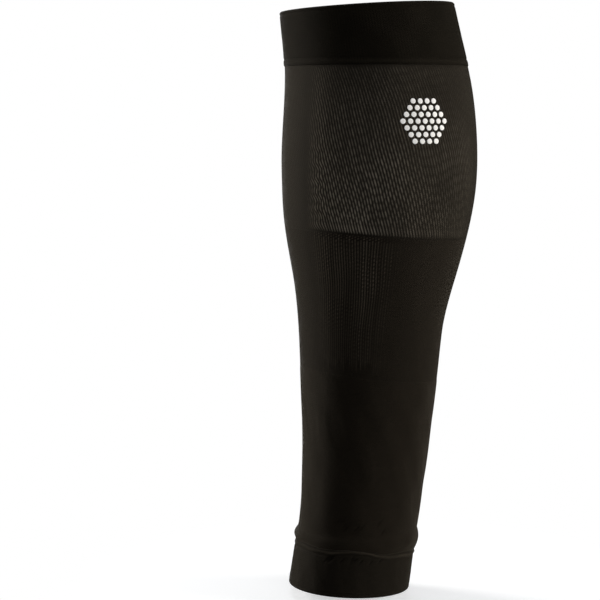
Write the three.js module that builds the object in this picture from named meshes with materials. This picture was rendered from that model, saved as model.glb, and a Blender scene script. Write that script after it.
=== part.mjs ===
// A knitted calf compression sleeve, in the form that it has when it is worn.
// Millimetres, +Z up. The shin faces -Y and the calf muscle faces +Y.
// The origin is the middle of the leg's hollow, at the widest level of the calf.
import * as THREE from "three";

// The form of the whole sleeve, measured outside.
const sleeveLength = 340; // hem to rim, at the sides of the leg
const calfDepth = 114; // shin to calf muscle, where the calf is widest
const calfWidth = 111; // side to side there
const ankleDepth = 70.5;
const ankleWidth = 63;
const ankleLean = 17; // the hem's middle lies this far in front of the calf's

// The knit.
const knitThickness = 1.2;
const bandThickness = 2.2; // a doubled welt
const cuffThickness = 2; // a doubled welt too

// The tube's panels: an open knit over the calf, a ribbed one below it, and a plain one above the ankle.
// They are knitted in one go, and their changes of stitch run lower behind the leg than at the shin.
const calfPanelHeight = 91.8; // at the shin
const calfPanelDrop = 7.3;
const ribPanelHeight = 81; // at the shin
const ribPanelDrop = 1.5; // beyond the calf panel's

// The band at the knee.
const bandHeight = 33.7;
const bandProud = 0.4; // how far its outer face stands out from the tube
const rimRise = 5.3; // the rim is this much higher at the calf than at the shin

// The cuff at the ankle, with the raised row of loops that links it to the tube.
const cuffHeight = 29; // at the shin
const hemDrop = 2.7; // the hem is this much lower behind the leg than at the shin
const cuffDrop = 5.8; // its top line is this much lower behind the leg
const cuffSunk = 0.2; // how far its outer face lies inside the tube's
const lineWave = 0.5; // the top line's waver, up and down
const lineWaves = 6; // around the leg
const beadHeight = 1.4;
const beadProud = 0.7; // beyond the cuff's own face

// The soft roll of the tube's knit over that row, up to a level line.
const rollHeight = 6.5; // at the shin
const rollProud = 1.3;

const seamGap = 0.3; // between neighbouring pieces

// Level sections of the leg, from the hem upwards. The height is a share of the sleeve's length, the lean a
// share of ankleLean, and the depth and width go from 0 at the ankle's size to 1 at the calf's. The last
// column is where the section is widest, as a share of its depth from the shin.
const sections = [
  { height: 0, lean: 1, depth: 0.04, width: 0.03, widest: 0.47 },
  { height: 0.06, lean: 0.835, depth: 0.028, width: 0.02, widest: 0.47 },
  { height: 0.11, lean: 0.68, depth: 0, width: 0, widest: 0.47 },
  { height: 0.18, lean: 0.525, depth: 0.035, width: 0.05, widest: 0.48 },
  { height: 0.28, lean: 0.4, depth: 0.13, width: 0.17, widest: 0.49 },
  { height: 0.39, lean: 0.31, depth: 0.25, width: 0.3, widest: 0.51 },
  { height: 0.475, lean: 0.26, depth: 0.35, width: 0.43, widest: 0.53 },
  { height: 0.54, lean: 0.145, depth: 0.55, width: 0.61, widest: 0.55 },
  { height: 0.595, lean: 0.1, depth: 0.75, width: 0.78, widest: 0.56 },
  { height: 0.65, lean: 0.055, depth: 0.91, width: 0.905, widest: 0.57 },
  { height: 0.7, lean: 0, depth: 0.98, width: 0.975, widest: 0.57 },
  { height: 0.75, lean: 0, depth: 1, width: 1, widest: 0.57 },
  { height: 0.805, lean: 0, depth: 0.955, width: 0.96, widest: 0.56 },
  { height: 0.86, lean: 0.03, depth: 0.88, width: 0.89, widest: 0.55 },
  { height: 0.91, lean: 0.135, depth: 0.795, width: 0.82, widest: 0.54 },
  { height: 0.96, lean: 0.315, depth: 0.735, width: 0.77, widest: 0.53 },
  { height: 1.02, lean: 0.49, depth: 0.67, width: 0.72, widest: 0.52 },
];
const columns = ["lean", "depth", "width", "widest"];

const sides = 72;
const bandRows = 4;
const calfRows = 7;
const ribRows = 5;
const ankleRows = 6;
const cuffRows = 3;
const roundSteps = 4;

const { lerp } = THREE.MathUtils;

const sectionCurve = new THREE.CubicInterpolant(
  sections.map((section) => section.height),
  sections.flatMap((section) => columns.map((column) => section[column])),
  columns.length,
);

// The point of the sleeve's face at a turn from the shin, a height over the hem and a depth into the knit.
function facePoint(turn, height, inset) {
  const [lean, depthShare, widthShare, widest] = sectionCurve.evaluate(height / sleeveLength);
  const depth = lerp(ankleDepth, calfDepth, depthShare);
  const width = lerp(ankleWidth, calfWidth, widthShare);
  const widestPlace = depth * (widest - 0.5) - ankleLean * lean;
  const reach = Math.cos(turn) > 0 ? depth * widest : depth * (1 - widest);
  const x = (width / 2 - inset) * Math.sin(turn);
  const y = widestPlace - (reach - inset) * Math.cos(turn);
  return new THREE.Vector3(x, y, height);
}

// The lines around the leg that the pieces reach, as heights over the hem.
const fromShin = (turn) => (1 - Math.cos(turn)) / 2; // 0 at the shin, 1 behind the leg
const hemLine = (turn) => hemDrop * (0.5 - fromShin(turn));
const rollLine = () => cuffHeight + rollHeight;
const ribLine = (turn) => calfLine(turn) - ribPanelHeight - ribPanelDrop * fromShin(turn);
const calfLine = (turn) => bandLine() - calfPanelHeight - calfPanelDrop * fromShin(turn);
const bandLine = () => sleeveLength - bandHeight;
const rimLine = (turn) => sleeveLength + rimRise * (fromShin(turn) - 0.5);

function cuffLine(turn) {
  const drop = cuffDrop * fromShin(turn) ** 2;
  return cuffHeight - drop - lineWave * Math.cos(lineWaves * turn);
}

// A corner of a wall's profile: its height in the wall's list of lines, where 0.5 is midway between the first
// two, a rise in millimetres, an inset from the leg's section, and the even rows from it to the next corner.
const corner = (line, up, inset, rows = 1) => ({ line, up, inset, rows });

// The closed profile through these corners.
function withRows(corners) {
  return corners.flatMap((from, i) => {
    const to = corners[(i + 1) % corners.length];
    return Array.from({ length: from.rows }, (_, row) => {
      const mix = (key) => lerp(from[key], to[key], row / from.rows);
      return corner(mix("line"), mix("up"), mix("inset"));
    });
  });
}

// A half round edge as thick as the wall, above a line from the outer face over to the inner one, or under it
// from the inner face to the outer one, with the rows from its last corner to the next.
function roundEdge(line, upwards, outerInset, thickness, rows) {
  const radius = thickness / 2;
  return Array.from({ length: roundSteps + 1 }, (_, step) => {
    const angle = (Math.PI * step) / roundSteps;
    const inset = outerInset + radius - radius * Math.cos(angle) * upwards;
    const up = upwards * (radius * Math.sin(angle) - radius);
    return corner(line, up, inset, step === roundSteps ? rows : 1);
  });
}

// A rounded ridge up the outer face, between two heights in the list of lines.
function ridge(fromLine, toLine, fromUp, inset, proud) {
  return Array.from({ length: roundSteps + 1 }, (_, step) => {
    const angle = (Math.PI * step) / roundSteps;
    const share = (1 - Math.cos(angle)) / 2;
    return corner(lerp(fromLine, toLine, share), lerp(fromUp, 0, share), inset - proud * Math.sin(angle));
  });
}

// One wall around the leg: its closed profile is turned as on a lathe, then set on the leg's sections.
function wallAroundLeg(name, corners, lines, material) {
  const profile = withRows(corners);
  const closed = [...profile, profile[0]];
  const turned = closed.map(({ line, up, inset }) => new THREE.Vector2(calfWidth / 2 - inset, line + up));
  const geometry = new THREE.LatheGeometry(turned, sides);
  const position = geometry.getAttribute("position");
  for (let i = 0; i < position.count; i++) {
    const turn = (2 * Math.PI * Math.floor(i / closed.length)) / sides;
    const { line, up, inset } = closed[i % closed.length];
    const lower = Math.min(Math.floor(line), lines.length - 2);
    const height = lerp(lines[lower](turn), lines[lower + 1](turn), line - lower) + up;
    const point = facePoint(turn, height, inset);
    position.setXYZ(i, point.x, point.y, point.z);
  }
  geometry.computeVertexNormals();
  const mesh = new THREE.Mesh(geometry, material);
  mesh.name = name;
  return mesh;
}

const weltKnit = new THREE.MeshStandardMaterial({ color: 0x151412, roughness: 0.85, metalness: 0 });
const tubeKnit = new THREE.MeshStandardMaterial({ color: 0x1e1b17, roughness: 0.9, metalness: 0 });

// The doubled welt at the knee, folded over at the rim.
function kneeBand() {
  const outer = -bandProud;
  const inner = outer + bandThickness;
  const lowerLine = (turn) => bandLine(turn) + seamGap / 2;
  const rim = roundEdge(1, 1, outer, bandThickness, bandRows);
  const corners = [corner(0, 0, outer, bandRows), ...rim, corner(0, 0, inner)];
  return wallAroundLeg("knee_band", corners, [lowerLine, rimLine], weltKnit);
}

// A single layer of knit between two lines, a seam gap clear of both.
function panel(name, lowerLine, upperLine, rows) {
  const lines = [(turn) => lowerLine(turn) + seamGap / 2, (turn) => upperLine(turn) - seamGap / 2];
  const outerFace = [corner(0, 0, 0, rows), corner(1, 0, 0)];
  const innerFace = [corner(1, 0, knitThickness, rows), corner(0, 0, knitThickness)];
  return wallAroundLeg(name, [...outerFace, ...innerFace], lines, tubeKnit);
}

// The plain panel above the ankle, with the roll at its lower end.
function anklePanel() {
  const lowerLine = (turn) => cuffLine(turn) + seamGap / 2;
  const upperLine = (turn) => ribLine(turn) - seamGap / 2;
  const roll = ridge(0, 1, 0, 0, rollProud).slice(0, -1);
  const outerFace = [...roll, corner(1, 0, 0, ankleRows), corner(2, 0, 0)];
  const innerFace = [
    corner(2, 0, knitThickness, ankleRows),
    corner(1, 0, knitThickness),
    corner(0, 0, knitThickness),
  ];
  const lines = [lowerLine, rollLine, upperLine];
  return wallAroundLeg("ankle_panel", [...outerFace, ...innerFace], lines, tubeKnit);
}

// The doubled welt at the ankle, with the raised linking row along its top and a round fold at the hem.
function ankleCuff() {
  const outer = cuffSunk;
  const upperLine = (turn) => cuffLine(turn) - seamGap / 2;
  const hem = roundEdge(0, -1, outer, cuffThickness, cuffRows);
  const bead = ridge(1, 1, -beadHeight, outer, beadProud);
  const corners = [...hem, ...bead, corner(1, 0, outer + cuffThickness, cuffRows)];
  return wallAroundLeg("ankle_cuff", corners, [hemLine, upperLine], weltKnit);
}

const sleeve = new THREE.Group();
sleeve.add(
  kneeBand(),
  panel("calf_panel", calfLine, bandLine, calfRows),
  panel("rib_panel", ribLine, calfLine, ribRows),
  anklePanel(),
  ankleCuff(),
);
const widestSection = sections.reduce((a, b) => (b.depth > a.depth ? b : a));
sleeve.position.z = -widestSection.height * sleeveLength;

export default sleeve;
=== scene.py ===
"""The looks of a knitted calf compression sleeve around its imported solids. Metres, +Z up, shin towards -Y."""
import math

import bpy
import numpy as np
from mathutils import Matrix, Vector
from mathutils.bvhtree import BVHTree


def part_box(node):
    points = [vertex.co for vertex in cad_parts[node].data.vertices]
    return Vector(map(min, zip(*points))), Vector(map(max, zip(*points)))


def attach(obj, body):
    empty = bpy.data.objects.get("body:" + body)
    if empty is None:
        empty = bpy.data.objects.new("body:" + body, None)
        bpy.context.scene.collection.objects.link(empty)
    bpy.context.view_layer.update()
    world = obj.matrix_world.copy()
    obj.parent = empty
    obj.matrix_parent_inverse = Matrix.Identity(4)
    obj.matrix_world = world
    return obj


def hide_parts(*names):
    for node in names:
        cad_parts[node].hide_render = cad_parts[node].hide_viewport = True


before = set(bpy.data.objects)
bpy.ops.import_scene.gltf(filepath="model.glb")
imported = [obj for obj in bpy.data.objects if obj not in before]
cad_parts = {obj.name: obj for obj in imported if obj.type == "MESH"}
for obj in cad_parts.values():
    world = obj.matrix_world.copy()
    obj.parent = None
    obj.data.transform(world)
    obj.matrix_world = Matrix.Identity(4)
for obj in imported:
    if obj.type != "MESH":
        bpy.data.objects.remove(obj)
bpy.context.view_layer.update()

MM = 0.001
FULL_TURN = 2 * math.pi

# How the pieces lie on the tube's face, as in the solids
KNIT_THICKNESS = 1.2 * MM
BAND_THICKNESS = 2.2 * MM
BAND_PROUD = 0.4 * MM
CUFF_THICKNESS = 2.0 * MM
CUFF_SUNK = 0.2 * MM
ROLL_HEIGHT = 6.5 * MM
ROLL_PROUD = 1.3 * MM
BEAD_HEIGHT = 1.4 * MM
BEAD_PROUD = 0.5 * MM
CUFF_DROP = 5.8 * MM
LINE_WAVE = 0.5 * MM
LINE_WAVES = 6
HALF_SOLIDS_GAP = 0.15 * MM

# How the pieces meet here: the joints slope down inwards, and a row beside each edge holds the shading
SEAM_GAP = 0.04 * MM
JOINT_SLOPE = 0.6
EDGE_ROW = 0.04 * MM

# The knit: a ridge runs along the middle of each wale
WALES = 200
COLUMNS_PER_WALE = 4
COLUMNS = WALES * COLUMNS_PER_WALE
COURSE = 1.05 * MM
COLUMN = np.arange(COLUMNS)
WALE = (COLUMN + COLUMNS_PER_WALE // 2) // COLUMNS_PER_WALE % WALES
RIDGE = 0.5 + 0.5 * np.cos(FULL_TURN * COLUMN / COLUMNS_PER_WALE)


# The leg's form, read from the solids

LEVEL_STEP = 2 * MM
RAYS = 180
RAY_START = 0.2
LEAST_RADIUS = 0.012
HARMONICS = 12
FINE_PER_RAY = 8
SMOOTHING = 6 * MM
GRID_COLUMNS = 256
GRID_MARGIN = 6 * MM
HEM_ROUNDING = 3 * MM
RIM_ROUNDING = 7 * MM
ROLL_ZONE = (20 * MM, 39 * MM)
MIDDLE_ROOM = 1 * MM


def solids_tree():
    """One search tree over the faces of all the nodes."""
    corners = []
    faces = []
    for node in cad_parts.values():
        start = len(corners)
        corners.extend(vertex.co.copy() for vertex in node.data.vertices)
        faces.extend([start + i for i in face.vertices] for face in node.data.polygons)
    return BVHTree.FromPolygons(corners, faces)


def edge_height(node, top, back):
    """The height of a node's upper or lower edge, behind the leg or at the shin."""
    corners = np.array([vertex.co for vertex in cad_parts[node].data.vertices])
    place = corners[:, 1].max() if back else corners[:, 1].min()
    near = np.abs(corners[:, 0]) < MIDDLE_ROOM
    near &= np.abs(corners[:, 1] - place) < np.ptp(corners[:, 1]) / 2
    heights = corners[near, 2]
    return heights.max() if top else heights.min()


HEM_AT_SHIN = edge_height("ankle_cuff", top=False, back=False)
HEM_AT_BACK = edge_height("ankle_cuff", top=False, back=True)
LOW = (HEM_AT_SHIN + HEM_AT_BACK) / 2
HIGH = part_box("knee_band")[1].z


def middle_line(z):
    """Y of a straight line inside the leg, at heights z."""
    boxes = [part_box("ankle_cuff"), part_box("knee_band")]
    places = [(low.z + high.z) / 2 for low, high in boxes]
    middles = [(low.y + high.y) / 2 for low, high in boxes]
    slope = (middles[1] - middles[0]) / (places[1] - places[0])
    return middles[0] + slope * (np.asarray(z) - places[0])


def measured_radii(levels, angles):
    """How far the tube's face lies from the middle line, as levels by angles.

    It isn't measured over the roll, nor where a ray meets nothing, and is not a number there.
    """
    tree = solids_tree()
    band_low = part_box("knee_band")[0].z
    radii = np.full((len(levels), len(angles)), np.nan)
    for i, z in enumerate(levels):
        if ROLL_ZONE[0] < z - LOW < ROLL_ZONE[1]:
            continue
        middle = Vector((0, float(middle_line(z)), z))
        proud = BAND_PROUD if z > band_low else 0
        if z - LOW < ROLL_ZONE[0]:
            proud = -CUFF_SUNK
        for j, angle in enumerate(angles):
            outward = Vector((math.sin(angle), -math.cos(angle), 0))
            hit = tree.ray_cast(middle + outward * RAY_START, -outward)[0]
            if hit is not None:
                radius = (hit - middle).dot(outward)
                if radius > LEAST_RADIUS:
                    radii[i, j] = radius - proud
    return radii


def smoothed(radii, levels, wanted):
    """The radii at the wanted heights, by straight fits weighted towards each height."""
    known = ~np.isnan(radii)
    values = np.where(known, radii, 0)
    result = np.empty((len(wanted), radii.shape[1]))
    for i, z in enumerate(wanted):
        away = levels - z
        weight = np.exp(-0.5 * (away / SMOOTHING) ** 2)[:, None] * known
        total = weight.sum(0)
        first = (weight * away[:, None]).sum(0)
        second = (weight * away[:, None] ** 2).sum(0)
        mean = (weight * values).sum(0)
        tilt = (weight * values * away[:, None]).sum(0)
        result[i] = (second * mean - first * tilt) / (total * second - first**2)
    return result


def leg_grid():
    """Heights, points of the tube's face there at even shares of the girth, and the girths.

    A share goes from 0 at the shin round by +X.
    """
    angles = np.arange(RAYS) * FULL_TURN / RAYS
    levels = np.arange(LOW + HEM_ROUNDING, HIGH - RIM_ROUNDING, LEVEL_STEP)
    wanted = np.arange(LOW - GRID_MARGIN, HIGH + GRID_MARGIN, LEVEL_STEP)
    radii = smoothed(measured_radii(levels, angles), levels, wanted)
    waves = np.fft.rfft(radii, axis=1)
    waves[:, HARMONICS:] = 0
    fine = FINE_PER_RAY * RAYS
    radii = np.fft.irfft(waves, n=fine, axis=1) * fine / RAYS
    turn = np.arange(fine + 1) * FULL_TURN / fine
    radii = np.concatenate([radii, radii[:, :1]], axis=1)
    x = radii * np.sin(turn)
    y = middle_line(wanted)[:, None] - radii * np.cos(turn)
    grid = np.empty((len(wanted), GRID_COLUMNS, 2))
    girths = np.empty(len(wanted))
    shares = np.arange(GRID_COLUMNS) / GRID_COLUMNS
    for i in range(len(wanted)):
        along = np.concatenate([[0], np.cumsum(np.hypot(np.diff(x[i]), np.diff(y[i])))])
        girths[i] = along[-1]
        grid[i, :, 0] = np.interp(shares * along[-1], along, x[i])
        grid[i, :, 1] = np.interp(shares * along[-1], along, y[i])
    return wanted, grid, girths


LEVELS, GRID, GIRTHS = leg_grid()
LAST_ROW = len(LEVELS) - 2.001  # just short of the last row but one


def cubic_weights(t):
    """The four weights of a Catmull-Rom curve at t between its middle points."""
    return (
        -0.5 * t + t**2 - 0.5 * t**3,
        1 - 2.5 * t**2 + 1.5 * t**3,
        0.5 * t + 2 * t**2 - 1.5 * t**3,
        -0.5 * t**2 + 0.5 * t**3,
    )


def leg_points(share, z):
    """X and Y of the tube's face at shares of the girth and heights z."""
    column = (share % 1) * GRID_COLUMNS
    row = np.clip((z - LEVELS[0]) / LEVEL_STEP, 1, LAST_ROW)
    left = np.floor(column).astype(int)
    below_it = np.floor(row).astype(int)
    across = cubic_weights(column - left)
    upwards = cubic_weights(row - below_it)
    total = 0
    for i, up in enumerate(upwards):
        for j, side in enumerate(across):
            point = GRID[below_it + i - 1, (left + j - 1) % GRID_COLUMNS]
            total = total + point * (up * side)[..., None]
    return total


def on_leg(share, z, proud):
    """Points at shares of the girth and heights z, standing out from the tube's face by proud."""
    share, z, proud = np.broadcast_arrays(share, z, proud)
    step = 1 / (4 * GRID_COLUMNS)
    along = leg_points(share + step, z) - leg_points(share - step, z)
    along /= np.linalg.norm(along, axis=-1, keepdims=True)
    face = leg_points(share, z)
    x = face[..., 0] + along[..., 1] * proud
    y = face[..., 1] - along[..., 0] * proud
    return np.stack([x, y, z], axis=-1)


def girth_at(z):
    """The girth at heights z."""
    return np.interp(z, LEVELS, GIRTHS)


# The lines around the leg, as heights at shares of the girth

def behind(share):
    """0 at the shin and 1 behind the leg."""
    return (1 - np.cos(FULL_TURN * share)) / 2


def line_around(at_shin, at_back):
    """A line from its height at the shin to its height behind the leg, as a function of the share."""
    return lambda share: at_shin + (at_back - at_shin) * behind(share)


def line_between(upper_node, lower_node):
    """The line where two nodes meet."""
    heights = [
        (edge_height(upper_node, top=False, back=back) + edge_height(lower_node, top=True, back=back)) / 2
        for back in (False, True)
    ]
    return line_around(*heights)


rim_line = line_around(
    edge_height("knee_band", top=True, back=False),
    edge_height("knee_band", top=True, back=True),
)
band_line = line_between("knee_band", "calf_panel")
calf_line = line_between("calf_panel", "rib_panel")
rib_line = line_between("rib_panel", "ankle_panel")
hem_line = line_around(HEM_AT_SHIN, HEM_AT_BACK)

CUFF_TOP = edge_height("ankle_cuff", top=True, back=False) - LOW + HALF_SOLIDS_GAP + LINE_WAVE


def cuff_line(share):
    """Where the cuff meets the plain knit."""
    wave = LINE_WAVE * np.cos(LINE_WAVES * FULL_TURN * share)
    return LOW + CUFF_TOP - CUFF_DROP * behind(share) ** 2 - wave


def roll_top(share):
    """The level line where the roll over the cuff's seam ends."""
    return LOW + CUFF_TOP + ROLL_HEIGHT + 0 * share


def band_top(share):
    """Where the band's faces turn into its round rim."""
    return rim_line(share) - BAND_THICKNESS / 2


def cuff_bottom(share):
    """Where the cuff's faces turn into its round hem."""
    return hem_line(share) + CUFF_THICKNESS / 2


def above(line, inset=0.0):
    """Where a piece begins over a line, at a depth in the knit."""
    return lambda share: line(share) - JOINT_SLOPE * inset + SEAM_GAP / 2


def below(line, inset=0.0):
    """Where a piece ends under a line, at a depth in the knit."""
    return lambda share: line(share) - JOINT_SLOPE * inset - SEAM_GAP / 2


# Soft changes and chance

CLOUD_WAVES = 9

# The seed of each soft unevenness, and the size of its spots
CLOUDS = {
    "calf steps": (3, 24 * MM),
    "calf rows": (4, 26 * MM),
    "calf patches": (5, 20 * MM),
    "rib beading": (6, 16 * MM),
    "rib patches": (8, 12 * MM),
    "roll": (9, 12 * MM),
    "ankle waves": (13, 14 * MM),
    "band ribs": (14, 12 * MM),
    "band waves": (15, 18 * MM),
    "bead level": (18, 6 * MM),
    "bead loops": (19, 14 * MM),
    "cuff waves": (21, 10 * MM),
}

# The creases: places as shares of the girth, lengths in millimetres, a width in metres and strengths
CREASE_PLACES = (0.18, 0.33)
CREASE_LENGTHS = (1.4, 2.6)
CREASE_WIDTH = 0.55 * MM
CREASE_STRENGTHS = (0.6, 1)

# Where the patterns begin and end, in degrees from the shin
PATTERN_BEGINS = (40, 54)
PATTERN_ENDS = (150, 168)

# How the wales wander: how far in wales, the waves around, the height of a wave's radian, and its start
SWAYS = ((0.12, 3, 9 * MM, 0), (0.08, 11, -5.3 * MM, 1.3))


def smooth_step(low, high, value):
    """0 below low and 1 above high, with a soft change between."""
    t = np.clip((value - low) / (high - low), 0, 1)
    return t * t * (3 - 2 * t)


def bell(value, middle, width):
    """1 at the middle, falling softly to 0 on both sides."""
    return np.exp(-(((value - middle) / width) ** 2))


def inside(mix, steepness):
    """0 at both ends of a mix from 0 to 1, and 1 between them."""
    return np.minimum(1, mix * steepness) * np.minimum(1, (1 - mix) * steepness)


def clouds(share, z, name):
    """A soft unevenness around the leg, from 0 to 1, in spots of about its size."""
    seed, size = CLOUDS[name]
    random = np.random.default_rng(seed)
    most = round(girth_at(0) / size / 2)
    total = 0
    for _ in range(CLOUD_WAVES):
        around = random.integers(1, most + 1)
        up = random.uniform(-1, 1) * math.pi / size
        total = total + np.sin(FULL_TURN * (around * share + random.random()) + up * z)
    return 0.5 + 0.5 * np.tanh(total / math.sqrt(CLOUD_WAVES / 2))


def creases(share, over, seed, count, heights, slant):
    """Short slanting dents, from 0 to 1, at random places on both sides of the leg, some way over a line. The
    knits sink their face there and paint it darker, as shade.
    """
    random = np.random.default_rng(seed)
    total = np.zeros_like(over)
    places = random.uniform(*CREASE_PLACES, count)
    for place in np.where(np.arange(count) % 2, places, 1 - places):
        across = ((share - place + 0.5) % 1 - 0.5) * girth_at(LOW)
        up = over - random.uniform(*heights)
        along = across * math.cos(slant) + up * math.sin(slant)
        aside = up * math.cos(slant) - across * math.sin(slant)
        length = random.uniform(*CREASE_LENGTHS) * MM
        strength = random.uniform(*CREASE_STRENGTHS)
        total += strength * np.exp(-((along / length) ** 2) - (aside / CREASE_WIDTH) ** 2)
    return np.minimum(total, 1)


def from_shin(share):
    """The turn from the shin, in degrees, on either side."""
    turn = (share % 1) * 360
    return np.minimum(turn, 360 - turn)


def zone_strength(turn, fading, left):
    """1 where the sleeve's side carries its pattern, fading to what is left, and 0 at the shin and behind."""
    strength = 1 - (1 - left) * smooth_step(*fading, turn)
    return smooth_step(*PATTERN_BEGINS, turn) * strength * (1 - smooth_step(*PATTERN_ENDS, turn))


def sway(share, z):
    """The loose wandering of the wales, in wales."""
    around = FULL_TURN * share
    return sum(far * np.sin(waves * around + z / height + start) for far, waves, height, start in SWAYS)


# Meshes

EDGE_STEPS = 10


def in_scene(name, data):
    """A new object in the scene."""
    result = bpy.data.objects.new(name, data)
    bpy.context.scene.collection.objects.link(result)
    return result


def wall_mesh(name, ends, parts):
    """A closed wall around the leg, from the parts of its closed profile one after another.

    A part is four arrays of profile steps by columns: the share, the height, how far the wall stands out and
    how far its pattern is raised. That last one sets how much of the lighter yarn colour the wall takes: partly
    the yarn's own tone, partly painted light, with a painted highlight on raised yarns and painted shade on the
    ground between them. The ends are the steps after which the wall turns a sharp corner, over to its other
    face. The mesh has a map in wales and courses.
    """
    share, z, proud, raised = [np.concatenate(arrays, axis=0) for arrays in zip(*parts)]
    points = on_leg(share, z, proud)
    index = np.arange(z.size).reshape(z.shape)
    up = np.roll(index, -1, axis=0)
    quads = np.stack([index, np.roll(index, -1, axis=1), np.roll(up, -1, axis=1), up], axis=-1).reshape(-1, 4)
    smooth = np.ones(z.shape, bool)
    smooth[ends] = False
    mesh = bpy.data.meshes.new(name)
    mesh.vertices.add(z.size)
    mesh.vertices.foreach_set("co", points.astype(np.float32).ravel())
    mesh.loops.add(quads.size)
    mesh.loops.foreach_set("vertex_index", quads.astype(np.int32).ravel())
    mesh.polygons.add(len(quads))
    mesh.polygons.foreach_set("loop_start", np.arange(0, quads.size, 4, dtype=np.int32))
    mesh.polygons.foreach_set("use_smooth", smooth.ravel())
    mesh.update(calc_edges=True)
    column = quads % COLUMNS
    wraps = (column == COLUMNS - 1).any(axis=1, keepdims=True) & (column == 0)
    wale = np.where(wraps, COLUMNS, column) / COLUMNS_PER_WALE
    course = ((z - LOW) / COURSE).ravel()[quads]
    layer = mesh.uv_layers.new(name="knit")
    layer.data.foreach_set("uv", np.stack([wale, course], axis=-1).astype(np.float32).ravel())
    attribute = mesh.attributes.new("raised", "FLOAT", "POINT")
    attribute.data.foreach_set("value", raised.astype(np.float32).ravel())
    return in_scene(name, mesh)


def rows_between(low, high, count):
    """Shares of the columns, and heights on count rows from one line up to another."""
    share = np.broadcast_to(COLUMN / COLUMNS, (count, COLUMNS))
    mix = np.linspace(0, 1, count)[:, None]
    z = low(share) + (high(share) - low(share)) * mix
    return share, z, np.broadcast_to(mix, share.shape)


def slanted_rows(low, high, count, lean):
    """Rows between two lines, whose columns turn round the leg by +X on their way down."""
    share, z, mix = rows_between(low, high, count)
    share = share + math.tan(lean) * (high(share) - z) / girth_at(z)
    return share, low(share) + (high(share) - low(share)) * mix, mix


def rings_of(z):
    """The number of each row."""
    return np.arange(len(z))[:, None] + 0 * z


def held(part, first=True, last=True):
    """A face with one more row right beside its first or last one, so that the shading turns only there."""
    z = part[1]
    from_first = EDGE_ROW / np.abs(z[1] - z[0])
    from_last = EDGE_ROW / np.abs(z[-1] - z[-2])
    result = []
    for values in part:
        rows = [values]
        if first:
            near = values[0] + (values[1] - values[0]) * from_first
            rows = [values[:1], near[None], values[1:]]
        if last:
            near = values[-1] + (values[-2] - values[-1]) * from_last
            rows = [*rows[:-1], rows[-1][:-1], near[None], values[-1:]]
        result.append(np.concatenate(rows, axis=0))
    return tuple(result)


def inner_rows(low, high, count, inset, lean=0.0):
    """The inner face, from its upper edge down to its lower one."""
    share, z, _ = slanted_rows(low, high, count, lean)
    flat = np.zeros_like(z)
    return share[::-1], z[::-1], flat - inset, flat


def panel_lining(lower, upper, count, lean=0.0):
    """The inner face of a single layer of knit between two lines."""
    low = above(lower, KNIT_THICKNESS)
    high = below(upper, KNIT_THICKNESS)
    return inner_rows(low, high, count, KNIT_THICKNESS, lean)


def half_round(line, upwards, outer, thickness):
    """A half round edge over a wall: above a line from the outer face inwards, or below it from inside out."""
    share = np.broadcast_to(COLUMN / COLUMNS, (EDGE_STEPS + 1, COLUMNS))
    angle = np.linspace(0, math.pi, EDGE_STEPS + 1)[:, None]
    radius = thickness / 2
    proud = outer - radius + radius * np.cos(angle) * upwards
    z = line(share) + upwards * (radius * np.sin(angle) - radius)
    flat = np.zeros_like(z)
    return share, z, flat + proud, flat


# The open knit over the calf. Each pair is where a change begins and ends, as a share of the panel's height
# or in degrees from the shin, and each loss or gain is how much of the pattern's strength it takes or adds.

CALF_SEED = 7
CALF_LINING = 12
DASH_ROWS = 21
RINGS_PER_DASH = 5
LOOP_ROWS = DASH_ROWS + 40
LOOP_STRENGTHS = (0.55, 1.0)
DASH_LEAN = math.radians(15)
DASH_PROUD = 0.42 * MM
DASH_SHARPNESS = 2.6
DASH_CLIMB = -16
DASH_CHANCE = 0.45
DASH_STEP = 0.5
DASH_CLOUDS = 0.5
GAP_SUNK = 0.08 * MM
SWELL_CHANGE = (0.1, 0.5)
SWELL_HEIGHTS = (0.2, 0.6)
LEAST_SWELL = 0.62
SWELL_LOSS = 0.24
EDGE_DASH = (1, 8)
EDGE_DASH_BLUNTNESS = 0.6
CALF_FADING = (90, 126)
CALF_LEFT = 0.5
CALF_PATCHES = (0.66, 0.34)
BAND_FADING = (0.4, 0.95)
BAND_LOSS = 0.52
BAND_STEEPNESS = 40
# Painted shade just below the band, on the shin side: where it lies, and how much it takes from the loops and
# from the plain colour
SHADE_TURN = (78, 17)
SHADE_HEIGHTS = (0.8, 0.92)
SHADE_LOSS = 0.35
SHADE_REST_LOSS = 0.5
STRONG_HEIGHTS = (0.25, 0.65)
STRONG_TURNS = (82, 108)
STRONG_GAIN = 0.56
CALF_STRENGTH = 0.94
BACK_TURNS = (98, 128)
BACK_LOSS = 0.2
BACK_REST_LOSS = 0.72
CALF_REST = 0.036
PANEL_STEEPNESS = 60
CURL_TURN = (49, 5)
CURL_HEIGHTS = (0.3, 0.7)
CURL_WALES = (0.12, 0.33)
CURL_HEIGHT = 8.8 * MM


def curls(share, z):
    """The zigzag of the loops beside the plain strip at the shin, in wales."""
    low = 1 - smooth_step(*CURL_HEIGHTS, (z - calf_line(share)) / (band_line(share) - calf_line(share)))
    most = CURL_WALES[0] + CURL_WALES[1] * low
    return most * bell(from_shin(share), *CURL_TURN) * np.sin(FULL_TURN * z / CURL_HEIGHT)


def loop_swell(rows, ring, mix):
    """How full the loops are along their wale, from 0 to 1, with the longer row along the lower edge."""
    least = LEAST_SWELL - SWELL_LOSS * (1 - smooth_step(*SWELL_HEIGHTS, mix))
    swell = 0.5 - 0.5 * np.cos(FULL_TURN * rows)
    swell = least + (1 - least) * smooth_step(*SWELL_CHANGE, swell)
    first, last = EDGE_DASH
    long_dash = np.sin(math.pi * np.clip((ring - first) / (last - first), 0, 1)) ** EDGE_DASH_BLUNTNESS
    return np.where(ring < last, long_dash, swell)


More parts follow.
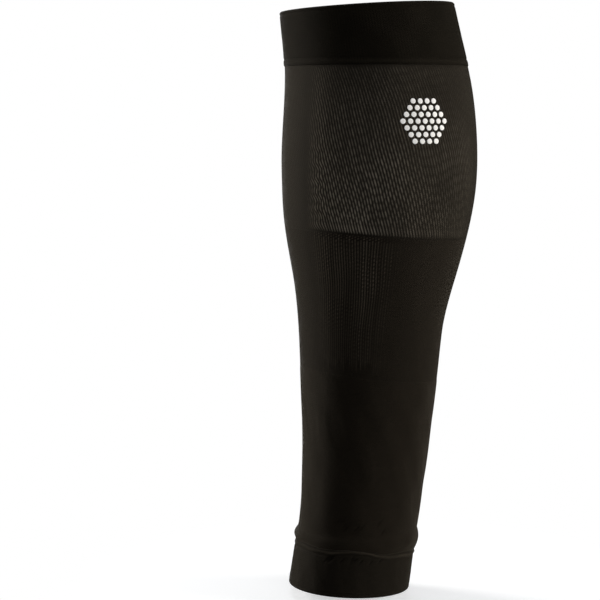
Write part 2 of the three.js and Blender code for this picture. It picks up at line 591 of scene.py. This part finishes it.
def calf_knit():
    """The open knit over the calf: rows of raised, slanting loops, with a longer row along the lower edge."""
    count = DASH_ROWS * RINGS_PER_DASH + 1
    share, z, mix = slanted_rows(above(calf_line), below(band_line), count, DASH_LEAN)
    turn = from_shin(share)
    ring = rings_of(z)
    random = np.random.default_rng(CALF_SEED)
    chance = random.random(WALES)[WALE]
    rows = ring / RINGS_PER_DASH + DASH_CLIMB * WALE / WALES + DASH_CHANCE * chance
    rows = rows + DASH_STEP * (WALE % 2) * (0.5 + 0.5 * clouds(share, z, "calf steps"))
    rows = rows + DASH_CLOUDS * clouds(share, z, "calf rows")
    loops = random.uniform(*LOOP_STRENGTHS, (LOOP_ROWS, WALES))
    bright = loops[np.floor(rows).astype(int) % LOOP_ROWS, WALE]

    always, sometimes = CALF_PATCHES
    zone = zone_strength(turn, CALF_FADING, CALF_LEFT)
    zone = zone * (always + sometimes * clouds(share, z, "calf patches"))
    zone = zone * (1 - BAND_LOSS * smooth_step(*BAND_FADING, mix))
    zone = zone * np.minimum(1, (1 - mix) * BAND_STEEPNESS)
    # shade is painted shade just below the band: the loops there are made weaker, both in their lighter colour
    # and in relief
    shade = bell(turn, *SHADE_TURN) * smooth_step(*SHADE_HEIGHTS, mix)
    zone = zone * (1 - SHADE_LOSS * shade)
    strong = (1 - smooth_step(*STRONG_HEIGHTS, mix)) * (1 - smooth_step(*STRONG_TURNS, turn))
    back = smooth_step(*BACK_TURNS, turn)
    strength = CALF_STRENGTH + STRONG_GAIN * strong - BACK_LOSS * back
    raised = RIDGE**DASH_SHARPNESS * loop_swell(rows, ring, mix) * bright * zone * strength

    at_edges = inside(mix, PANEL_STEEPNESS)
    proud = DASH_PROUD * raised - GAP_SUNK * zone * at_edges
    share = share + (sway(share, z) + curls(share, z)) / WALES * at_edges
    # rest is the plain colour where the loops fade out. Below the band it is painted darker too, as shade
    rest = CALF_REST * (1 - zone) * (1 - SHADE_REST_LOSS * shade) * (1 - BACK_REST_LOSS * back)
    outer = held((share, z, proud, raised + rest))
    inner = panel_lining(calf_line, band_line, CALF_LINING, DASH_LEAN)
    return wall_mesh("calf_knit", [len(outer[0]) - 1, -1], [outer, inner])


# The ribbed knit below the calf, in the same terms

RIB_SEED = 17
RIB_LINING = 12
RIB_RINGS = 106
RIB_PROUD = 0.34 * MM
RIB_STRENGTH = 1.2
RIB_SHARPNESS = 2
RIB_CHANCE = (0.5, 0.5)
RIB_PATCHES = (0.75, 0.25)
RIB_FADING = (80, 108)
RIB_LEFT = 0.05
RIB_REST = 0.028
RIB_REST_GAIN = 0.5
RIB_REST_HEIGHTS = (0.3, 0.9)
RINGS_PER_BEAD = 3
BEADED_WALES = (0.3, 0.7)
PLAIN_RIB = 0.7
BEADED_RIB = (0.15, 1.1)
CHECKED_RINGS = 5
CHECKS = (0.2, 0.6)
RIB_ENDS = (0, 0.07)
RIB_ENDS_CHANCE = 0.1
RIB_LOW_STRENGTH = (0.38, 0.62)
RIB_LOW_HEIGHTS = (0.15, 0.8)


def rib_line_strength(share, z, ring, chance):
    """How strong each rib is along its wale: plain or beaded, with small checks in the topmost rows."""
    beads = 0.5 + 0.5 * np.cos(FULL_TURN * (ring / RINGS_PER_BEAD + chance[0]))
    beading = clouds(share, z, "rib beading") * (BEADED_WALES[0] + BEADED_WALES[1] * (WALE % 2))
    line = (1 - beading) * PLAIN_RIB + beading * (BEADED_RIB[0] + BEADED_RIB[1] * beads)
    line = line * (RIB_CHANCE[0] + RIB_CHANCE[1] * chance[1])
    line = line * (RIB_PATCHES[0] + RIB_PATCHES[1] * clouds(share, z, "rib patches"))
    checks = 0.5 + 0.5 * np.cos(math.pi * (ring + WALE))
    checks = (CHECKS[0] + CHECKS[1] * chance[2]) * checks
    return np.where(ring > RIB_RINGS - CHECKED_RINGS, checks, line)


def rib_knit():
    """The knit below the calf: fine upright ribs, some of them beaded, which end softly above the ankle."""
    share, z, mix = rows_between(above(rib_line), below(calf_line), RIB_RINGS)
    chance = np.random.default_rng(RIB_SEED).random((3, WALES))[:, WALE]
    line = rib_line_strength(share, z, rings_of(z), chance)
    ends = smooth_step(*RIB_ENDS, mix - RIB_ENDS_CHANCE * chance[2])
    ends = ends * (RIB_LOW_STRENGTH[0] + RIB_LOW_STRENGTH[1] * smooth_step(*RIB_LOW_HEIGHTS, mix))
    zone = zone_strength(from_shin(share), RIB_FADING, RIB_LEFT) * ends
    raised = RIB_STRENGTH * RIDGE**RIB_SHARPNESS * line * zone
    rest = RIB_REST * (1 - zone) * (1 + RIB_REST_GAIN * smooth_step(*RIB_REST_HEIGHTS, mix))
    share = share + sway(share, z) / WALES * inside(mix, PANEL_STEEPNESS)
    outer = held((share, z, RIB_PROUD * raised, raised + rest))
    inner = panel_lining(rib_line, calf_line, RIB_LINING)
    return wall_mesh("rib_knit", [len(outer[0]) - 1, -1], [outer, inner])


# The plain knit above the ankle, and its roll

ROLL_RINGS = 14
ROLL_BLUNTNESS = 0.9
ROLL_FULLNESS = (0.45, 0.55)
ROLL_FULLNESS_SHARPNESS = 4
ROLL_PATCHES = (0.8, 0.4)
ROLL_RAISED = 0.31
ANKLE_RINGS = 90
ANKLE_LINING = 14
ANKLE_STEEPNESS = 40
ANKLE_RIDGE = 0.05 * MM
ANKLE_WAVE = 0.35 * MM
ANKLE_RAISED = (0.27, 0.07)
ANKLE_CREASE = 0.45 * MM
ANKLE_CREASE_SEED = 12
ANKLE_CREASE_COUNT = 16
ANKLE_CREASE_HEIGHTS = (7.5 * MM, 17 * MM)
ANKLE_CREASE_SLANT = math.radians(50)


def ankle_roll():
    """The roll over the cuff's seam."""
    share, z, mix = rows_between(above(cuff_line), roll_top, ROLL_RINGS)
    bulge = np.sin(math.pi * mix) ** ROLL_BLUNTNESS
    least, more = ROLL_FULLNESS
    fullness = least + more * np.cos(FULL_TURN * share) ** ROLL_FULLNESS_SHARPNESS
    fullness = fullness * (ROLL_PATCHES[0] + ROLL_PATCHES[1] * clouds(share, z, "roll"))
    return held((share, z, ROLL_PROUD * bulge * fullness, ROLL_RAISED + 0 * z), last=False)


def ankle_knit():
    """The plain knit above the ankle, with the roll over the cuff's seam at its lower end."""
    roll = ankle_roll()
    share, z, mix = rows_between(roll_top, below(rib_line), ANKLE_RINGS)
    at_edges = inside(mix, ANKLE_STEEPNESS)
    share = share + sway(share, z) / WALES * at_edges
    over = z - LOW - CUFF_TOP
    dents = creases(
        share, over, ANKLE_CREASE_SEED, ANKLE_CREASE_COUNT, ANKLE_CREASE_HEIGHTS, ANKLE_CREASE_SLANT
    )
    waves = (clouds(share, z, "ankle waves") - 0.5) * at_edges
    proud = (ANKLE_RIDGE * RIDGE - ANKLE_CREASE * dents) * at_edges + ANKLE_WAVE * waves
    # The creases are dents in the face, and their colour is darkened too: painted shade in the creases
    raised = (ANKLE_RAISED[0] + ANKLE_RAISED[1] * RIDGE) * (1 - dents)
    plain = held(tuple(values[1:] for values in (share, z, proud, raised)), first=False)
    inner = panel_lining(cuff_line, rib_line, ANKLE_LINING)
    top = len(roll[0]) + len(plain[0]) - 1
    return wall_mesh("ankle_knit", [top, -1], [roll, plain, inner])


# The band at the knee. Each pair is the place and the width of a relief, from the band's lower line or rim.

BAND_RINGS = 56
BAND_LINING = 12
LIP_SUNK = 0.25 * MM
LIP_CHANGE = (0.1 * MM, 0.7 * MM)
GROOVE = (4.0 * MM, 0.5 * MM)
GROOVE_SUNK = 0.28 * MM
WELT = (2.1 * MM, 0.8 * MM)
WELT_PROUD = 0.1 * MM
UNDER_RIM = (2.1 * MM, 0.4 * MM)
UNDER_RIM_SUNK = 0.32 * MM
BAND_RIBS = (0.25, 0.75)
BAND_RIB_PROUD = 0.09 * MM
BAND_WAVE = 0.12 * MM
# How much lighter the band's ribs and welt, and its rim, are painted. On the ribs this is partly lighter yarn.
# On the welt and the rim it is painted highlight
BAND_RAISED = 0.4
RIM_RAISED = 0.3


def band_knit():
    """The doubled welt at the knee."""
    share, z, _ = rows_between(above(band_line, LIP_SUNK - BAND_PROUD), band_top, BAND_RINGS)
    over = z - band_line(share)
    welt = bell(over, *WELT)
    lip = 1 - smooth_step(*LIP_CHANGE, over)
    ribs = RIDGE * (BAND_RIBS[0] + BAND_RIBS[1] * clouds(share, z, "band ribs"))
    waves = (clouds(share, z, "band waves") - 0.5) * (1 - lip)
    proud = BAND_PROUD + BAND_RIB_PROUD * ribs + WELT_PROUD * welt + BAND_WAVE * waves
    proud = proud - GROOVE_SUNK * bell(over, *GROOVE)
    proud = proud - UNDER_RIM_SUNK * bell(rim_line(share) - z, *UNDER_RIM) - LIP_SUNK * lip
    # The welt is painted lighter, a painted highlight along it. The ribs are painted lighter partly for their
    # lighter yarn and partly as painted highlight on their relief
    outer = held((share, z, proud, BAND_RAISED * ribs + BAND_RAISED * welt), last=False)
    share, z, proud, flat = half_round(rim_line, 1, BAND_PROUD, BAND_THICKNESS)
    # The rim is painted lighter: a painted highlight along it
    rim = tuple(values[1:] for values in (share, z, proud, flat + RIM_RAISED))
    inset = BAND_THICKNESS - BAND_PROUD
    inner = inner_rows(above(band_line, inset), band_top, BAND_LINING, inset)
    inner = tuple(values[1:] for values in inner)
    return wall_mesh("knee_band_knit", [-1], [outer, rim, inner])


# The cuff at the ankle, in the same terms, under its upper line or over its hem

CUFF_RINGS = 60
CUFF_LINING = 10
CUFF_STEEPNESS = 20
CUFF_RIDGE = 0.05 * MM
CUFF_WAVE = 0.16 * MM
CUFF_RAISED = (0.11, 0.02)
CUFF_CREASE = 0.6 * MM
CUFF_CREASE_SEED = 20
CUFF_CREASE_COUNT = 22
CUFF_CREASE_HEIGHTS = (3.6 * MM, 8 * MM)
CUFF_CREASE_SLANT = math.radians(-48)
BEAD_WIDTH = 0.62 * MM
# BEAD_RAISED paints the row of linking loops lighter: a painted highlight along its ridge
BEAD_RAISED = 0.7
BEAD_DROP = 1.5 * MM
BEAD_LEVEL_TURN = (98, 26)
BEAD_WAVER = 0.3 * MM
BEAD_LOOPS = (0.7, 0.3)
BEAD_PATCHES = (0.55, 0.45)
BEAD_AT_SHIN = (0.6, 0.4)
BEAD_SHIN_TURNS = (25, 50)
RECESS = (1.7 * MM, 0.5 * MM)
RECESS_SUNK = 0.2 * MM
HEM_GROOVE = (2 * MM, 0.4 * MM)
HEM_GROOVE_SUNK = 0.2 * MM


def bead_drop(share):
    """How far the row of loops sags under the cuff's upper edge, apart from the middle of each side."""
    waver = BEAD_WAVER * (clouds(share, 0 * share, "bead level") - 0.5)
    return waver + BEAD_DROP * (1 - bell(from_shin(share), *BEAD_LEVEL_TURN))


def bead_loops(share, z):
    """How full the linking loops are."""
    loops = BEAD_LOOPS[0] + BEAD_LOOPS[1] * RIDGE
    loops = loops * (BEAD_PATCHES[0] + BEAD_PATCHES[1] * clouds(share, z, "bead loops"))
    return loops * (BEAD_AT_SHIN[0] + BEAD_AT_SHIN[1] * smooth_step(*BEAD_SHIN_TURNS, from_shin(share)))


def cuff_knit():
    """The doubled welt at the ankle, with the raised row of linking loops along its top."""
    share, z, mix = rows_between(cuff_bottom, below(cuff_line, CUFF_SUNK), CUFF_RINGS)
    under = cuff_line(share) - z
    from_bead = under - (BEAD_HEIGHT / 2 + bead_drop(share))
    bead = bell(from_bead, 0, BEAD_WIDTH)
    loops = bead_loops(share, z)
    dents = creases(
        share, under, CUFF_CREASE_SEED, CUFF_CREASE_COUNT, CUFF_CREASE_HEIGHTS, CUFF_CREASE_SLANT
    )
    waves = (clouds(share, z, "cuff waves") - 0.5) * np.minimum(1, mix * CUFF_STEEPNESS)
    proud = -CUFF_SUNK + CUFF_RIDGE * RIDGE + (BEAD_PROUD + CUFF_SUNK) * bead * loops
    proud = proud - HEM_GROOVE_SUNK * bell(z - hem_line(share), *HEM_GROOVE)
    proud = proud - RECESS_SUNK * bell(from_bead, *RECESS) - CUFF_CREASE * dents + CUFF_WAVE * waves
    # The creases are painted darker, as the shade in them. The row of linking loops is painted much lighter: a
    # painted highlight along its ridge, over its real relief
    raised = (CUFF_RAISED[0] + CUFF_RAISED[1] * RIDGE) * (1 - dents) + BEAD_RAISED * bead * loops
    outer = held((share, z, proud, np.clip(raised, 0, 1)), first=False)
    inset = CUFF_THICKNESS + CUFF_SUNK
    inner = inner_rows(cuff_bottom, below(cuff_line, inset), CUFF_LINING, inset)
    fold = half_round(hem_line, -1, -CUFF_SUNK, CUFF_THICKNESS)
    fold = tuple(values[1:-1] for values in fold)
    return wall_mesh("ankle_cuff_knit", [len(outer[0]) - 1], [outer, inner, fold])


# The generic printed mark: a hexagon of small dots

MARK_SHARE = 0.3205
MARK_HEIGHT = 275.3 * MM
MARK_DOTS = 3
DOT_PITCH = 4.25 * MM
DOT_RADIUS = 1.48 * MM
DOT_SIDES = 24
DOT_RINGS = 4
DOT_MIDDLE = 0.25
PRINT_FACE = 0.34 * MM
PRINT_FOOT = -0.1 * MM
PRINT_ROUNDING = 0.05 * MM
PRINT_TAPER = 0.95


def mark_centres():
    """Places of the dots, across and up from the mark's middle."""
    steps = range(-MARK_DOTS, MARK_DOTS + 1)
    return [
        (DOT_PITCH * (aside + row / 2), DOT_PITCH * row * math.sqrt(3) / 2)
        for aside in steps
        for row in steps
        if abs(aside + row) <= MARK_DOTS
    ]


def dot_points(across, up, radius, angle, proud):
    """Points around a dot's middle, standing out from the tube's face by proud."""
    middle = LOW + MARK_HEIGHT
    share = MARK_SHARE + (across + radius * np.cos(angle)) / girth_at(middle)
    return on_leg(share, middle + up + radius * np.sin(angle), proud)


def transfer_mark():
    """Thin printed dots that follow the sleeve's face."""
    angle = np.arange(DOT_SIDES) * FULL_TURN / DOT_SIDES
    rings = [(1.0, PRINT_FOOT), (1.0, PRINT_FACE - PRINT_ROUNDING)]
    rings += [(size * PRINT_TAPER, PRINT_FACE) for size in np.linspace(1, DOT_MIDDLE, DOT_RINGS)]
    points = []
    faces = []
    for across, up in mark_centres():
        start = len(points)
        for size, proud in rings:
            points.extend(dot_points(across, up, DOT_RADIUS * size, angle, proud))
        top = len(points)
        foot = top + 1
        for proud in (PRINT_FACE, PRINT_FOOT):
            points.extend(dot_points(across, up, 0, np.zeros(1), proud))
        following = [(i, (i + 1) % DOT_SIDES) for i in range(DOT_SIDES)]
        for ring in range(len(rings) - 1):
            low = start + ring * DOT_SIDES
            high = low + DOT_SIDES
            faces.extend((low + this, low + after, high + after, high + this) for this, after in following)
        last = start + (len(rings) - 1) * DOT_SIDES
        for this, after in following:
            faces.append((last + this, last + after, top))
            faces.append((start + after, start + this, foot))
    mesh = bpy.data.meshes.new("transfer_mark")
    mesh.from_pydata([tuple(point) for point in points], [], faces)
    mesh.shade_smooth()
    return in_scene("transfer_mark", mesh)


# Materials

WARM = (1.0, 0.88, 0.7, 1)
WHITE = (1, 1, 1, 1)

# The scales of the noises, in spots for each metre
CLOUDY_SCALE = 45
GLOSS_SCALE = 900
FIBRE_SCALE = 2600
FUZZ_SCALE = 3200
PRINT_TONE_SCALE = 700
PRINT_WEAVE_SCALE = 1500

CLOUDY_TONES = (0.82, 1.18)
FIBRE_TONES = (0.7, 1.3)
PRINT_TONES = (0.93, 0.98)
ROUGHNESS_SPREAD = 0.08
SHEEN_ROUGHNESS = 0.45
PRINT_ROUGHNESS = 0.55
FUZZ_HEIGHT = 0.05 * MM
STITCH_HEIGHT = 0.12 * MM
STITCH_LEAN = 1.3
STITCH_BLUNTNESS = 0.5


class Graph:
    """A material's nodes, made by short calls."""

    def __init__(self, name):
        self.material = bpy.data.materials.new(name)
        self.material.use_nodes = True
        self.tree = self.material.node_tree
        self.shader = self.tree.nodes["Principled BSDF"]

    def node(self, kind, **settings):
        """A new node with these settings."""
        made = self.tree.nodes.new(kind)
        for key, value in settings.items():
            setattr(made, key, value)
        return made

    def feed(self, socket, value):
        """Links a socket to another one, or sets it to a plain value."""
        if isinstance(value, bpy.types.NodeSocket):
            self.tree.links.new(value, socket)
        else:
            socket.default_value = value

    def dress(self, **values):
        """Feeds the shader's sockets, whose names have an underscore here for each space."""
        for key, value in values.items():
            self.feed(self.shader.inputs[key.replace("_", " ")], value)

    def maths(self, operation, *values):
        """The result of a Math node."""
        made = self.node("ShaderNodeMath", operation=operation)
        for socket, value in zip(made.inputs, values):
            self.feed(socket, value)
        return made.outputs[0]

    def place(self):
        """The place on the object, in metres."""
        return self.node("ShaderNodeTexCoord").outputs["Object"]

    def noise(self, scale, detail=2.0, roughness=0.5):
        """A noise over the object, from 0 to 1."""
        made = self.node("ShaderNodeTexNoise")
        self.feed(made.inputs["Vector"], self.place())
        self.feed(made.inputs["Scale"], scale)
        self.feed(made.inputs["Detail"], detail)
        self.feed(made.inputs["Roughness"], roughness)
        return made.outputs["Fac"]

    def spread(self, value, low, high):
        """A value from 0 to 1, spread from low to high."""
        made = self.node("ShaderNodeMapRange")
        self.feed(made.inputs["Value"], value)
        self.feed(made.inputs["To Min"], low)
        self.feed(made.inputs["To Max"], high)
        return made.outputs["Result"]

    def blend(self, share, first, second):
        """A colour between two."""
        made = self.node("ShaderNodeMix", data_type="RGBA")
        self.feed(made.inputs["Factor"], share)
        self.feed(made.inputs["A"], first)
        self.feed(made.inputs["B"], second)
        return [socket for socket in made.outputs if socket.type == "RGBA"][0]

    def bump(self, height, distance, under=None):
        """The normal bent by a height from 0 to 1, over another bump where there is one."""
        made = self.node("ShaderNodeBump")
        self.feed(made.inputs["Strength"], 1.0)
        self.feed(made.inputs["Distance"], distance)
        self.feed(made.inputs["Height"], height)
        if under is not None:
            self.feed(made.inputs["Normal"], under)
        return made.outputs["Normal"]


def knit_height(graph):
    """The height of a stocking stitch: a V of two yarns in each wale and course."""
    place = graph.node("ShaderNodeUVMap", uv_map="knit").outputs["UV"]
    split = graph.node("ShaderNodeSeparateXYZ")
    graph.feed(split.inputs[0], place)
    across = graph.maths("ABSOLUTE", graph.maths("SUBTRACT", graph.maths("FRACT", split.outputs[0]), 0.5))
    slanted = graph.maths("ADD", split.outputs[1], graph.maths("MULTIPLY", across, STITCH_LEAN))
    leg = graph.maths("FRACT", slanted)
    strand = graph.maths("SINE", graph.maths("MULTIPLY", leg, math.pi))
    fall = graph.maths("COSINE", graph.maths("MULTIPLY", across, math.pi))
    return graph.maths("MULTIPLY", strand, graph.maths("POWER", fall, STITCH_BLUNTNESS))


def knit_material(name, ground, yarn, roughness=0.8, sheen=0.06, fleck=0.03, gloss=0.1):
    """A dark knit whose raised yarns are a little lighter than the ground: partly their own tone, partly
    painted light, with a painted highlight on them and painted shade on the ground between them.
    """
    graph = Graph(name)
    raised = graph.node("ShaderNodeAttribute", attribute_name="raised").outputs["Fac"]
    stitches = knit_height(graph)
    cloudy = graph.spread(graph.noise(CLOUDY_SCALE, 3.0, 0.6), *CLOUDY_TONES)
    fibres = graph.spread(graph.noise(FIBRE_SCALE, roughness=0.7), *FIBRE_TONES)
    # raised picks the yarn colour over the ground: partly the yarn's own tone, partly a painted highlight on
    # raised yarns and painted shade between them
    share = graph.maths("ADD", raised, graph.maths("MULTIPLY", stitches, fleck))
    colour = graph.blend(graph.maths("MINIMUM", share, 1.0), (*ground, 1), (*yarn, 1))
    shade = graph.node("ShaderNodeVectorMath", operation="SCALE")
    graph.feed(shade.inputs[0], colour)
    graph.feed(shade.inputs["Scale"], graph.maths("MULTIPLY", cloudy, fibres))
    rough = graph.spread(graph.noise(GLOSS_SCALE), roughness - ROUGHNESS_SPREAD, roughness + ROUGHNESS_SPREAD)
    fuzz = graph.bump(graph.noise(FUZZ_SCALE, roughness=0.6), FUZZ_HEIGHT)
    graph.dress(
        Base_Color=shade.outputs[0],
        Roughness=rough,
        Specular_IOR_Level=gloss,
        Specular_Tint=WARM,
        Sheen_Weight=sheen,
        Sheen_Roughness=SHEEN_ROUGHNESS,
        Sheen_Tint=WARM,
        Normal=graph.bump(stitches, STITCH_HEIGHT, fuzz),
    )
    return graph.material


def print_material():
    """A matt white heat transfer with a fine weave showing through."""
    graph = Graph("transfer_print")
    tone = graph.spread(graph.noise(PRINT_TONE_SCALE), *PRINT_TONES)
    made = graph.node("ShaderNodeCombineColor")
    for socket in made.inputs[:3]:
        graph.feed(socket, tone)
    weave = graph.bump(graph.noise(PRINT_WEAVE_SCALE), FUZZ_HEIGHT)
    graph.dress(Base_Color=made.outputs[0], Roughness=PRINT_ROUGHNESS, Normal=weave)
    return graph.material


def worn(piece, material, slot, *nodes):
    """Gives a piece its material, hangs it on the root body, and hides the solids it stands in for."""
    piece.data.materials.append(material)
    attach(piece, "root")
    if nodes:
        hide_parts(*nodes)


# band_welt and cuff_welt are copies of the one welt knit in different tones. The band's copy is painted darker,
# a shaded copy that matches how the band looks in its light
band_welt = knit_material(
    "band_welt",
    ground=(0.003, 0.0025, 0.0016),
    yarn=(0.014, 0.0118, 0.0085),
    roughness=0.78,
    sheen=0.03,
    fleck=0.06,
    gloss=0.06,
)
cuff_welt = knit_material(
    "cuff_welt",
    ground=(0.0012, 0.0009, 0.0005),
    yarn=(0.036, 0.03, 0.0225),
    roughness=0.78,
    sheen=0.07,
)
open_knit = knit_material("open_knit", ground=(0.0038, 0.003, 0.0021), yarn=(0.2, 0.177, 0.142))
ribbed = knit_material("rib_knit", ground=(0.0028, 0.002, 0.0012), yarn=(0.1, 0.084, 0.065), sheen=0.08)
plain_knit = knit_material(
    "plain_knit",
    ground=(0.0016, 0.0012, 0.0008),
    yarn=(0.019, 0.0148, 0.0105),
    roughness=0.82,
    sheen=0.11,
    fleck=0.06,
)

worn(band_knit(), band_welt, "welt_knit", "knee_band")
worn(calf_knit(), open_knit, "open_knit", "calf_panel")
worn(rib_knit(), ribbed, "rib_knit", "rib_panel")
worn(ankle_knit(), plain_knit, "plain_knit", "ankle_panel")
worn(cuff_knit(), cuff_welt, "welt_knit", "ankle_cuff")
worn(transfer_mark(), print_material(), "transfer_print")


# The studio

FLOOR_SIZE = 12
FLOOR_GAP = 4 * MM
FLOOR_COLOUR = (0.88, 0.92, 0.98, 1)
FLOOR_GLOW = 0.47
SHADOW_ROOM = (0.055, 0.2)
SIDE_COLOUR = (1.0, 0.94, 0.85)

# The camera, at the photograph's angle
CAMERA_PLACE = Vector((1.030, 0.0, 0.027))
CAMERA_YAW = math.radians(2.56)
CAMERA_PITCH = math.radians(6.18)
CAMERA_LENS = 105.9
CAMERA_SENSOR = 36.0


def floor():
    """A plain pale floor just under the hem, which turns into the white surroundings further out."""
    mesh = bpy.data.meshes.new("floor")
    z = HEM_AT_BACK - FLOOR_GAP
    half = FLOOR_SIZE / 2
    corners = [(-half, -half, z), (half, -half, z), (half, half, z), (-half, half, z)]
    mesh.from_pydata(corners, [], [(0, 1, 2, 3)])
    result = in_scene("floor", mesh)
    graph = Graph("floor")
    graph.dress(
        Base_Color=FLOOR_COLOUR,
        Roughness=1.0,
        Specular_IOR_Level=0.0,
        Emission_Color=WHITE,
        Emission_Strength=FLOOR_GLOW,
    )
    level = graph.node("ShaderNodeVectorMath", operation="MULTIPLY")
    graph.feed(level.inputs[0], graph.place())
    graph.feed(level.inputs[1], (1, 1, 0))
    length = graph.node("ShaderNodeVectorMath", operation="LENGTH")
    graph.feed(length.inputs[0], level.outputs[0])
    ramp = graph.node("ShaderNodeMapRange", interpolation_type="SMOOTHSTEP")
    graph.feed(ramp.inputs["Value"], length.outputs["Value"])
    graph.feed(ramp.inputs["From Min"], SHADOW_ROOM[0])
    graph.feed(ramp.inputs["From Max"], SHADOW_ROOM[1])
    glow = graph.node("ShaderNodeEmission")
    mixed = graph.node("ShaderNodeMixShader")
    graph.feed(mixed.inputs[0], ramp.outputs["Result"])
    graph.feed(mixed.inputs[1], graph.shader.outputs[0])
    graph.feed(mixed.inputs[2], glow.outputs[0])
    output = graph.tree.nodes["Material Output"]
    graph.feed(output.inputs["Surface"], mixed.outputs[0])
    mesh.materials.append(graph.material)
    result.visible_diffuse = False
    result.visible_glossy = False


def area_light(name, turn, distance, height, size, power, colour=(1, 1, 1)):
    """A soft light, at a turn from +X towards +Y in degrees, that faces the sleeve."""
    lamp = bpy.data.lights.new(name, "AREA")
    lamp.color = colour
    lamp.shape = "RECTANGLE"
    lamp.size, lamp.size_y = size
    lamp.energy = power
    angle = math.radians(turn)
    place = Vector((distance * math.cos(angle), distance * math.sin(angle), height))
    middle = Vector((0, 0, (LOW + HIGH) / 2))
    facing = (middle - place).to_track_quat("-Z", "Y").to_matrix().to_4x4()
    result = in_scene(name, lamp)
    result.matrix_world = Matrix.Translation(place) @ facing
    result.visible_camera = False


def studio():
    """White surroundings that only the camera sees, and soft lights around the sleeve."""
    world = bpy.data.worlds.new("studio")
    bpy.context.scene.world = world
    world.use_nodes = True
    background = world.node_tree.nodes["Background"]
    background.inputs["Color"].default_value = WHITE
    background.inputs["Strength"].default_value = 1.0
    world.cycles_visibility.diffuse = False
    world.cycles_visibility.glossy = False
    bpy.context.scene.view_settings.view_transform = "Standard"
    area_light("key", turn=-112, distance=1.6, height=0.0, size=(0.5, 1.6), power=36.5, colour=SIDE_COLOUR)
    area_light("fill", turn=82, distance=1.6, height=-0.2, size=(0.7, 1.6), power=40, colour=SIDE_COLOUR)
    area_light("front", turn=10, distance=2.6, height=0.0, size=(1.6, 1.6), power=38)
    area_light("back", turn=190, distance=2.6, height=0.0, size=(1.6, 1.6), power=38)
    area_light("top", turn=0, distance=0.01, height=1.8, size=(1.2, 1.2), power=10)


def camera():
    """The camera at the photograph's viewing angle."""
    lens = bpy.data.cameras.new("camera")
    lens.sensor_width = CAMERA_SENSOR
    lens.lens = CAMERA_LENS
    forward = Vector((
        -math.cos(CAMERA_YAW) * math.cos(CAMERA_PITCH),
        -math.sin(CAMERA_YAW) * math.cos(CAMERA_PITCH),
        -math.sin(CAMERA_PITCH),
    ))
    right = Vector((-math.sin(CAMERA_YAW), math.cos(CAMERA_YAW), 0))
    up = right.cross(forward)
    turned = Matrix((right, up, -forward)).transposed().to_4x4()
    result = in_scene("camera", lens)
    result.matrix_world = Matrix.Translation(CAMERA_PLACE) @ turned
    bpy.context.scene.camera = result


floor()
studio()
camera()
